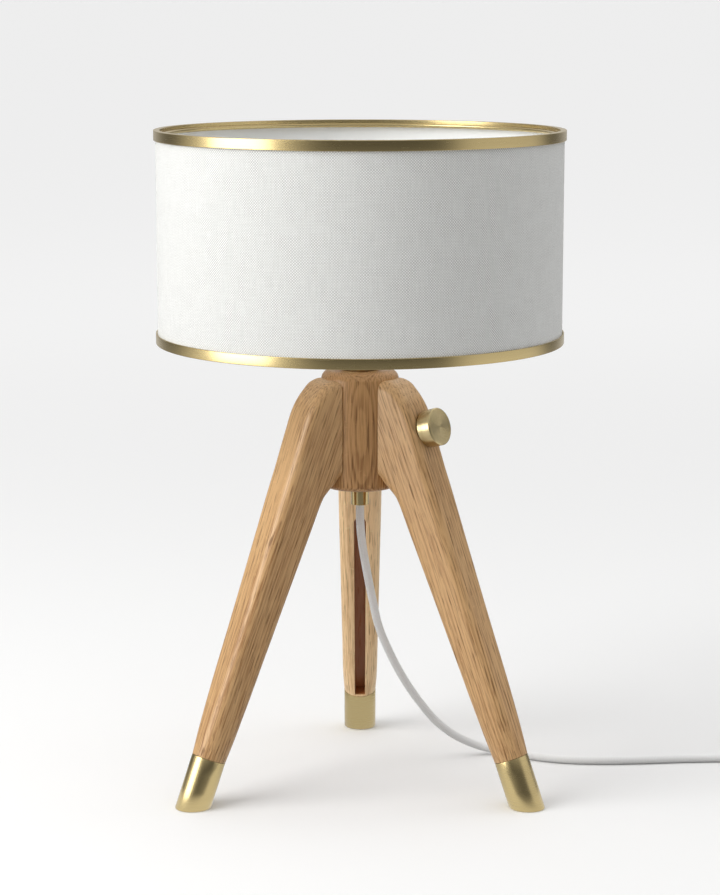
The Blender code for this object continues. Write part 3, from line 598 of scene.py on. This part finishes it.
# the switch's blind hole in the right leg and the seat of the knob's plate, round the knob's axis
POCKET = [(10.3, -20.0), (10.3, -0.9), (12.5, -0.9), (12.9, -0.3), (14.0, 9.0)]
# painted light: the back leg gets the lighter oak copy, and painted shade in its groove
LEG_LOOK = {"back": (BACK_LEG_LIT_OAK, BACK_LEG_LIT_DARK, 0.9, 0.85), "left": (LIGHT_OAK, DARK_OAK, 0.2, 0.0),
            # painted light: the right leg's oak is 3 % lighter, standing in for the light falling on it
            "right": (times(LIGHT_OAK, 1.03), times(DARK_OAK, 1.03), 6.7, 0.0)}
leg_shape = leg_rings()
for side, degrees in LEG_TURN.items():
    leg = skin("oak_leg_" + side, turned(leg_shape, degrees))
    if side == "back":
        carve(leg, skin("groove", turned(groove_rings(), degrees)))
    if side == "right":
        carve(leg, skin("pocket", spin(POCKET, 72, knob_centre, knob_way)))
    outward, sideways = turned((1.0, 0.0, 0.0), degrees), turned((0.0, 1.0, 0.0), degrees)
    mark_grain(leg, outward * FOOT_R, sideways, outward * AXIS_OUT[0] + UP * AXIS_OUT[1],
               outward * AXIS_UP[0] + UP * AXIS_UP[1])
    light, dark, seed, groove = LEG_LOOK[side]
    leg_look = oak("oak_leg_" + side, light, dark, (34.0, 60.0, 180.0), seed=seed, groove=groove)
    finish(leg, "base", leg_look, ["leg_" + side])


# ---------------------------------------------------------------- foot caps and pads
PAD_R, PAD_HIGH = 7.5, 1.5


def cap_rings():
    """A cap in its leg's plane: level rings round the leaning bar at the floor, then rings square to it."""
    angle = np.linspace(0, TURN, 96, endpoint=False)
    rings = []
    for height, radius in ((0.35, CAP_R - 0.9), (0.45, CAP_R - 0.35), (1.0, CAP_R)):
        outward = FOOT_R - height * math.tan(LEAN) + radius / math.cos(LEAN) * np.sin(angle)
        rings.append(np.column_stack([outward, radius * np.cos(angle), np.full(len(angle), height)]))
    for up, radius in ((CAP_LEN * 0.35, CAP_R), (CAP_LEN * 0.7, CAP_R), (CAP_LEN - 0.45, CAP_R),
                       (CAP_LEN - 0.12, CAP_R - 0.12), (CAP_LEN, CAP_R - 0.45), (CAP_LEN - 0.1, CAP_R - 1.1)):
        plane = FOOT + AXIS_UP * up + AXIS_OUT * (radius * np.sin(angle))[:, None]
        rings.append(np.column_stack([plane[:, 0], radius * np.cos(angle), plane[:, 1]]))
    return np.array(rings)


pad_outline = round_off([(0.0, 0.0), (PAD_R, 0.0), (PAD_R, PAD_HIGH), (0.0, PAD_HIGH)], 0.35)
for side, degrees in LEG_TURN.items():
    cap = skin("cap_" + side, turned(cap_rings(), degrees))
    finish(cap, "base", "brass_satin", ["foot_cap_" + side])
    pad = skin("pad_" + side, spin(pad_outline, 64, turned((FOOT_R - 0.5, 0.0, 0.0), degrees)))
    finish(pad, "base", "pad_rubber", ["foot_pad_" + side])

# ---------------------------------------------------------------- cord outlet, cover, base plate, lampholder
# node, look, how far the corners are rounded, and the outline of radius and height
ROUND_PARTS = {
    "cord_gland": ("cord_outlet", "brass_bright", 0.5,
                   [(3.5, 212.8), (6.7, 212.8), (6.7, 226.3), (5.0, 226.3), (5.0, 236.0), (3.5, 236.0)]),
    "hub_disc": ("hub_cover", "switch_black", 0.3,
                 [(5.3, 226.7), (13.1, 226.7), (13.1, 228.2), (5.3, 228.2)]),
    "stem_flange": ("base_plate", "brass_bright", 0.5,
                    [(5.3, 314.8), (13.4, 314.8), (13.4, 317.0), (5.3, 317.0)]),
    "lampholder_cup": ("holder_cup", "holder_white", 0.9,
                       [(5.3, 317.3), (13.5, 317.3), (17.5, 319.3), (19.7, 324.0), (19.7, 344.5),
                        (18.5, 344.5), (18.5, 324.6), (16.6, 320.6), (13.0, 318.6), (5.3, 318.6)]),
    "lampholder_skirt": ("holder_skirt", "holder_white", 0.6,
                         [(14.3, 344.8), (23.0, 344.8), (23.0, 347.6), (19.9, 347.6), (19.9, 371.5),
                          (14.3, 371.5)]),
}
for name, (node, look, radius, outline) in ROUND_PARTS.items():
    finish(skin(name, spin(round_off(outline, radius, 5, True), 96), True), "base", look, [node])


def ribbed(outline, ribs, depth, around=192):
    """Rings of a knurled ring: its outermost points move in and out as they go round."""
    rings = spin(outline, around)
    angle = np.arange(around) / around * TURN
    edge = outline[:, 0].max()
    wave = depth * (0.5 - 0.5 * np.cos(ribs * angle))[None, :] * (outline[:, :1] > edge - 0.9)
    rings[:, :, :2] *= (1 - wave / np.maximum(outline[:, :1], 1e-6))[:, :, None]
    return rings


nut_outline = round_off([(20.3, 350.3), (25.5, 350.3), (25.5, 356.4), (20.3, 356.4)], 0.8, 5, True)
finish(skin("shade_ring_nut", ribbed(nut_outline, 32, 0.7), True), "base", "holder_white", ["shade_nut"])

# ---------------------------------------------------------------- bulb
GLASS = [(12.6, 371.9), (13.4, 376), (15.5, 384), (20.5, 396), (26.5, 407), (29.3, 415), (30.0, 422.3),
         (29.2, 430), (25.8, 438.5), (19.5, 446), (10.5, 450.9), (0, 452.3)]           # radius, height
glass = smooth(np.arange(len(GLASS)), GLASS, np.linspace(0, len(GLASS) - 1, 67))
glass[:, 0] = np.maximum(glass[:, 0], 0)
finish(skin("bulb_globe", spin(glass, 96)), "bulb", "bulb_opal", ["bulb_glass"])


def threaded(radius, depth, pitch, low, high, around=96, rows=90):
    """Rings of a screw thread: the radius follows a rounded wave of height less the turn times the pitch."""
    height = np.linspace(low, high, rows)[:, None]
    angle = np.linspace(0, TURN, around, endpoint=False)[None]
    ease = np.clip(np.minimum(height - low, high - height) / 1.2, 0, 1)
    reach = radius + depth * ease * (0.5 * np.cos(TURN * height / pitch - angle) - 0.5)
    return np.stack([reach * np.cos(angle), reach * np.sin(angle), np.broadcast_to(height, reach.shape)], -1)


finish(skin("bulb_screw", threaded(13.1, 0.9, 3.62, 350.6, 371.4)), "bulb", "steel", ["bulb_cap"])

# ---------------------------------------------------------------- shade
WALL_LOW, WALL_HIGH = SHADE_LOW + 1.8, SHADE_TOP - 1.8
LINER_R = FABRIC_R - SKIN - 0.3
LAP, LAP_STEP = 14.0, 0.45          # width of the cover's glued lap, and how far it stands out
COVER_ROWS = 12
HOOP_R, WIRE_R = 143.6, 1.5         # the shade's wire rings
ARM_IN, ARM_OUT = 24.6, 143.4       # where an arm of the spider starts and ends
ARM_FALL = 9.7                      # and how far it drops on the way


def wall(outer, inner, around, rows):
    """Closed thin wall of a drum: rings up its outside and down its inside."""
    up = np.linspace(WALL_LOW, WALL_HIGH, rows)
    return spin(np.vstack([np.column_stack([np.full(rows, outer), up]),
                           np.column_stack([np.full(rows, inner), up[::-1]])]), around)


cover = wall(FABRIC_R, FABRIC_R - SKIN, 384, COVER_ROWS)
off_seam = np.abs(np.arctan2(cover[:, :, 1], cover[:, :, 0]) - BACK) * FABRIC_R
lap = np.clip((LAP / 2 - off_seam) / 0.8, 0, 1) * LAP_STEP
cover[:COVER_ROWS, :, :2] *= (1 + lap[:COVER_ROWS] / FABRIC_R)[:, :, None]             # the outside only
fabric = finish(skin("linen_cover", cover, True), "shade", "linen", ["shade_fabric"])
(WALL_HIGH - WALL_LOW) * MM
finish(skin("white_liner", wall(LINER_R, LINER_R - SKIN, 288, 4), True), "shade", "liner", ["shade_liner"])
for name, face, way in (("top", SHADE_TOP, -1), ("bottom", SHADE_LOW + 0.8, 1)):
    edge, fold, floor = (face + way * reach for reach in (BAND, 6.0, 1.5))
    channel = [(148.8, edge), (SHADE_R, edge), (SHADE_R, face), (145.5, face), (145.5, fold), (146.7, fold),
               (146.7, floor), (148.8, floor)]
    band = skin("edge_" + name, spin(round_off(channel, 0.55, 5, True), 384), True)
    finish(band, "shade", "brass_satin", ["shade_band_" + name])


def hoop(height, around=240, sides=16):
    """A wire ring round the lamp's axis."""
    angle = np.linspace(0, TURN, sides, endpoint=False)
    return spin(np.column_stack([HOOP_R + WIRE_R * np.cos(angle), height + WIRE_R * np.sin(angle)]), around)


finish(skin("hoop_top", hoop(SHADE_TOP - 4.2), True), "shade", "brass_satin", ["shade_wire_top"])
finish(skin("hoop_bottom", hoop(SHADE_LOW + 4.2), True), "shade", "wire_white", ["shade_spider"])
collar = [(20.3, SHADE_LOW + 13.1), (27.0, SHADE_LOW + 13.1), (27.0, SHADE_LOW + 15.1),
          (20.3, SHADE_LOW + 15.1)]
finish(skin("holder_ring", spin(round_off(collar, 0.6, 4, True), 96), True), "shade", "wire_white")
out = np.linspace(0, 1, 40)
height = SHADE_LOW + 14.0 - ARM_FALL * np.clip((out - 0.04) / 0.92, 0, 1)
arm = np.column_stack([ARM_IN + (ARM_OUT - ARM_IN) * out, np.zeros(len(out)), height])
for number in range(3):
    rod = carry(turned(arm, 30 + 120 * number), np.where(out < 0.05, 1.25, 1.45), 16)
    finish(skin("spider_arm_%d" % (number + 1), rod), "shade", "wire_white")

# ---------------------------------------------------------------- knob and its plate
knob_outline = round_off([(0.0, KNOB_FACE - 0.3), (KNOB_R - 1.3, KNOB_FACE - 0.1), (KNOB_R - 0.9, KNOB_FACE),
                          (KNOB_R, KNOB_FACE - 0.8), (KNOB_R, 2.0), (9.0, 2.0), (9.0, 5.6), (3.25, 5.6),
                          (3.25, 9.9), (0.0, 9.9)], 0.25, 4)
knob_look = faced("brass_faced", (0.62, 0.50, 0.27), 0.22, knob_centre * MM, knob_way, 0.34, KNOB_FACE)
knob = skin("switch_knob", spin(knob_outline, 128, knob_centre, knob_way))
finish(knob, "knob", knob_look, ["knob"])
plate_outline = round_off([(5.0, -0.6), (12.1, -0.6), (12.1, 0.5), (5.0, 0.5)], 0.3, 4, True)
plate = skin("knob_plate", spin(plate_outline, 96, knob_centre, knob_way), True)
finish(plate, "base", "brass_bright", ["switch_plate"])

# ---------------------------------------------------------------- cord, coil, tie and plug
ROUTE = [
    (0, 0, 236), (0, 0, 213), (0.1, 0.1, 200), (1.6, 1.1, 183), (5.0, 3.2, 161.5), (9.2, 6.2, 139),
    (14.2, 9.7, 116.5), (23.2, 16, 93), (33.8, 24, 71), (47.0, 34, 49), (61.5, 45, 29.5), (77.5, 55, 15.5),
    (97.5, 61, 5.8), (115, 57.5, 3.4), (133, 47, 3.2), (155, 38.2, 3.2), (185, 34.8, 3.2), (216, 36.0, 3.2),
    (248, 39.4, 3.2), (279, 41, 3.2), (316.5, 41.0, 3.7)]
COIL_MID = np.array((342.0, 83.5, 0.0))
TURN_R = (42.4, 36.2, 30.0)                    # radii of the three turns of a layer
LAYER_Z = (3.95, 10.15)
LEAVES = -60.0                                 # degrees round the coil where the cord leaves it
PLUG_WAY = 30.0                                # heading of the plug
PLUG_FROM, PLUG_Z = 26.5, 6.95                 # from the coil to the plug's boot, and the plug's height
BOOT = 29.6                                    # length of the boot
TIE_AT, TIE_Z = 60.0, 7.05                     # degrees round the coil, and height, of the tie's middle


def coil_points():
    """Three turns inward on the floor and three turns outward on top of them, stepping in and up over a
    short part of each turn."""
    angle = np.linspace(-90, 360 * 6 + LEAVES, 460)[8:]
    turns = (angle + 90) / 360
    part = turns - np.floor(turns)
    move = np.clip((part - 0.80) / 0.20, 0, 1)
    move = np.floor(turns) + move * move * (3 - 2 * move)
    radius = np.interp(move, range(7), (*TURN_R, *TURN_R[::-1], TURN_R[0]))
    height = np.interp(move, (0, 2, 3, 6), (LAYER_Z[0], LAYER_Z[0], LAYER_Z[1], LAYER_Z[1]))
    a = np.radians(angle)
    return np.column_stack([COIL_MID[0] + radius * np.cos(a), COIL_MID[1] + radius * np.sin(a), height])


def spread(points, gap):
    """Points an even gap apart along a smooth curve through the given ones."""
    points = np.asarray(points, float)
    run = np.concatenate([[0], np.cumsum(np.linalg.norm(np.diff(points, axis=0), axis=1))])
    fine = smooth(run, points, np.linspace(0, run[-1], int(run[-1] * 4)))
    run = np.concatenate([[0], np.cumsum(np.linalg.norm(np.diff(fine, axis=0), axis=1))])
    at = np.linspace(0, run[-1], int(run[-1] / gap))
    return np.column_stack([np.interp(at, run, fine[:, n]) for n in range(3)]), at


plug_way = turned((1.0, 0.0, 0.0), PLUG_WAY)
plug_left = np.cross(UP, plug_way)
leave = COIL_MID + turned((TURN_R[0] - 0.1, 0.0, 0.0), LEAVES)
plug_start = leave + plug_way * PLUG_FROM + UP * PLUG_Z
tail = [leave + plug_way * step + UP * z for step, z in ((9.0, 9.6), (18.0, 7.7), (PLUG_FROM, PLUG_Z),
                                                         (PLUG_FROM + 7.5, PLUG_Z))]
line, run = spread(np.vstack([ROUTE, coil_points(), tail]), 1.0)
cord = skin("braided_cord", carry(line, CORD_R, 32, (-0.57, 0.82, 0)), run=run)
finish(cord, "base", "braid", ["cord", "cord_coil"], crisp=60)


def plug_rings(table):
    """Rounded rings across the plug's own line, from rows of distance, half width, half height and corner."""
    table = np.asarray(table, float)
    fine = smooth(table[:, 0], table, np.linspace(table[0, 0], table[-1, 0], 60))
    fine[:, 2] = np.minimum(fine[:, 2], table[:, 2].max())
    across, up = rounded(fine[:, 1:2], fine[:, 2:3], fine[:, 3:], 10)
    return plug_start + fine[:, :1, None] * plug_way + across[:, :, None] * plug_left + up[:, :, None] * UP


boot_run = np.linspace(0, BOOT, 75)
on_rib = (np.abs(boot_run / 4.6 % 1 - 0.5) < 0.34) & (boot_run > 3) & (boot_run < 26)
boot_r = 3.55 + 1.3 * boot_run / BOOT + 0.405 * on_rib
boot = skin("plug_boot", spin(np.column_stack([boot_r, boot_run]), 48, plug_start, plug_way))
finish(boot, "base", "plug_white", ["plug_relief"], crisp=50)
SHELL = [(29.8, 6.0, 5.0, 3.4), (30.6, 7.0, 5.8, 3.6), (36, 8.6, 6.7, 4.0), (43, 10.8, 6.85, 4.0),
         (50, 13.6, 6.85, 3.9), (56, 16.6, 6.85, 3.4), (61, 17.5, 6.85, 3.0), (64.2, 17.4, 6.7, 2.8),
         (65.0, 16.6, 5.9, 2.6)]
shell = skin("plug_shell", plug_rings(SHELL))
finish(shell, "base", "plug_white", ["plug_body"], crisp=50)
pin_outline = round_off([(0.0, 64.6), (2.0, 64.6), (2.0, 84.3), (0.0, 84.3)], 1.1, 6)
for name, offset in (("a", 9.3), ("b", -9.3)):
    pin = skin("plug_prong_" + name, spin(pin_outline, 40, plug_start + plug_left * offset, plug_way))
    finish(pin, "base", "plug_pin", ["plug_pin_" + name])

tie_side = turned((1.0, 0.0, 0.0), TIE_AT)
tie_way = np.cross(UP, tie_side)
tie_mid = COIL_MID + TURN_R[1] * tie_side + UP * TIE_Z
tie_rows = []
for grow, offset in ((0.3, -2.3), (0.5, -2.5), (0.7, -2.3), (0.8, 0.0), (0.7, 2.3), (0.5, 2.5), (0.3, 2.3)):
    across, up = rounded(9.3 + grow, 6.2 + grow, 3.4, 10)
    tie_rows.append(tie_mid + across[:, None] * tie_side + up[:, None] * UP + offset * tie_way)
tie = finish(skin("coil_tie", np.array(tie_rows), True), "base", "tie_white", ["cord_tie"])

# ---------------------------------------------------------------- the frame's own parts that stay
for row in frame["record"]["subparts"]:
    kept = frame["nodes"][row["node"]]
    if kept.hide_render:
        continue
    slot_name = row["material_slot"]
    if slot_name not in LOOK:
        LOOK[slot_name] = plain("beech", (0.66, 0.50, 0.32), 0.6, 300, 0.05, 0.15)
    kept.data.materials.clear()
    kept.data.materials.append(LOOK[slot_name])

# ---------------------------------------------------------------- studio
REACH = 900.0                       # metres of floor to each side, so that it ends level with the eye
FAR_FLOOR = (0.86, 0.865, 0.86)
KEY, RIM = -72.0, 86.0              # headings from the lamp to the big soft light and to the pale screen


def toward(x, y, heading):
    """How far a level direction points to a compass heading: 1 straight at it, -1 away from it."""
    a = math.radians(heading)
    return x * math.sin(a) - y * math.cos(a)


def room(x, y):
    """What polished metal sees level with itself: a dim room, the key light's glow, two pale screens."""
    key, screen, behind = toward(x, y, KEY), toward(x, y, RIM), toward(x, y, 180)
    glow = key.step(0.62, 1.0, 0.12, 0.85)
    return glow + screen.step(0.74, 0.94, 0.0, 0.65) + behind.step(0.66, 1.0, 0.0, 0.50)


def stage_floor():
    """White paper. It gives other surfaces less light than the eye, and metal sees it end in the dim room."""
    mesh = bpy.data.meshes.new("floor")
    mesh.from_pydata([(-REACH, -REACH, 0), (REACH, -REACH, 0), (REACH, REACH, 0), (-REACH, REACH, 0)], [],
                     [(0, 1, 2, 3)])
    made = bpy.data.objects.new("floor", mesh)
    bpy.context.scene.collection.objects.link(made)
    paper = Look("pale_floor", Roughness=1.0, Specular_IOR_Level=0.0)
    x, y, _ = paper.parts(paper.place())
    away = (x * x + y * y).math("SQRT")
    paper.set(Base_Color=paper.grey(away.step(0.5, 3.0, 0.855, 0.98)),
              Emission_Color=paper.grey(away.step(0.4, 4.0, 0.0, 0.07)), Emission_Strength=1.0)
    bounce = paper.node("ShaderNodeBsdfDiffuse", None, {"Color": (0.52, 0.52, 0.515)})
    near = away.step(0.135, 0.175, 1.0, 0.0)                   # under the shade
    # for the key's light and the shade's shadow, and further out the room with a painted pool of light
    # painted reflection: metal sees the floor under the shade lighter in front and darker behind,
    level = room(x.math("DIVIDE", away), y.math("DIVIDE", away)) + away.step(1.5, 5.0, 0.17, 0.0)
    shown = near * y.step(-0.09, -0.02, 1.0, 0.74) + (1 - near) * level
    glimpse = paper.node("ShaderNodeEmission", None, {"Color": paper.grey(shown)})
    lit = Wire(paper, paper.shader.outputs[0])
    plain_view = paper.node("ShaderNodeMixShader", None, {0: paper.ray("Is Camera Ray"), 1: bounce, 2: lit})
    both = paper.node("ShaderNodeMixShader", None, {0: paper.ray("Is Glossy Ray"), 1: plain_view, 2: glimpse})
    paper.put(paper.tree.nodes["Material Output"].inputs["Surface"], both)
    mesh.materials.append(paper.look)


def studio_sky():
    """Even light, strongest overhead. Metal sees the dim room in it, and the eye a floor without end."""
    world = bpy.data.worlds.new("studio")
    bpy.context.scene.world = world
    world.use_nodes = True
    sky = Bench(world.node_tree)
    x, y, rise = sky.parts(sky.node("ShaderNodeTexCoord", out="Generated"))
    overhead = rise.step(0.28, 1.0, 0.20, 1.26)
    level = (x * x + y * y).math("SQRT")
    in_metal = room(x.math("DIVIDE", level), y.math("DIVIDE", level)) * rise.step(0.30, 0.9, 1.0, 0.0)
    in_metal = in_metal + rise.step(0.10, 1.0, 0.0, 0.75)
    lit = sky.mix(sky.ray("Is Glossy Ray"), sky.grey(overhead), sky.grey(in_metal))
    shown = sky.mix(sky.ray("Is Camera Ray"), lit, FAR_FLOOR)
    sky.put(world.node_tree.nodes["Background"].inputs["Color"], shown)


def card(name, heading, distance, low, high, wide, power, tint=(1, 1, 1), gloss=False):
    """A soft upright light at a compass heading, seen from the lamp and aimed at it. It either lights dull
    surfaces or shows in glossy ones."""
    lamp = bpy.data.lights.new(name, "AREA")
    lamp.shape, lamp.size, lamp.size_y, lamp.energy, lamp.color = "RECTANGLE", wide, high - low, power, tint
    made = bpy.data.objects.new(name, lamp)
    a = math.radians(heading)
    made.location = (distance * math.sin(a), -distance * math.cos(a), (low + high) / 2)
    inward = Vector((-made.location.x, -made.location.y, 0))
    made.rotation_euler = inward.to_track_quat("-Z", "Y").to_euler()
    made.visible_camera = False
    made.visible_glossy, made.visible_diffuse = gloss, not gloss
    bpy.context.scene.collection.objects.link(made)


stage_floor()
studio_sky()
card("key", KEY + 9, 1.6, 0.4, 2.7, 1.35, 37.0, (1.0, 0.995, 0.98))
card("gleam", KEY + 5, 1.6, 0.02, 2.4, 1.05, 31.5, gloss=True)
card("rim", RIM + 14, 1.5, 0.02, 1.6, 0.8, 3.2)

camera = bpy.data.cameras.new("camera")
camera.lens, camera.sensor_width, camera.clip_end = 100.86, 36.0, 3000.0
eye = bpy.data.objects.new("camera", camera)
eye.location = (0.0, -1.8349, 0.5827)
eye.rotation_euler = (math.radians(79.89), 0, 0)
bpy.context.scene.collection.objects.link(eye)
bpy.context.scene.camera = eye
bpy.context.scene.view_settings.view_transform = "Standard"
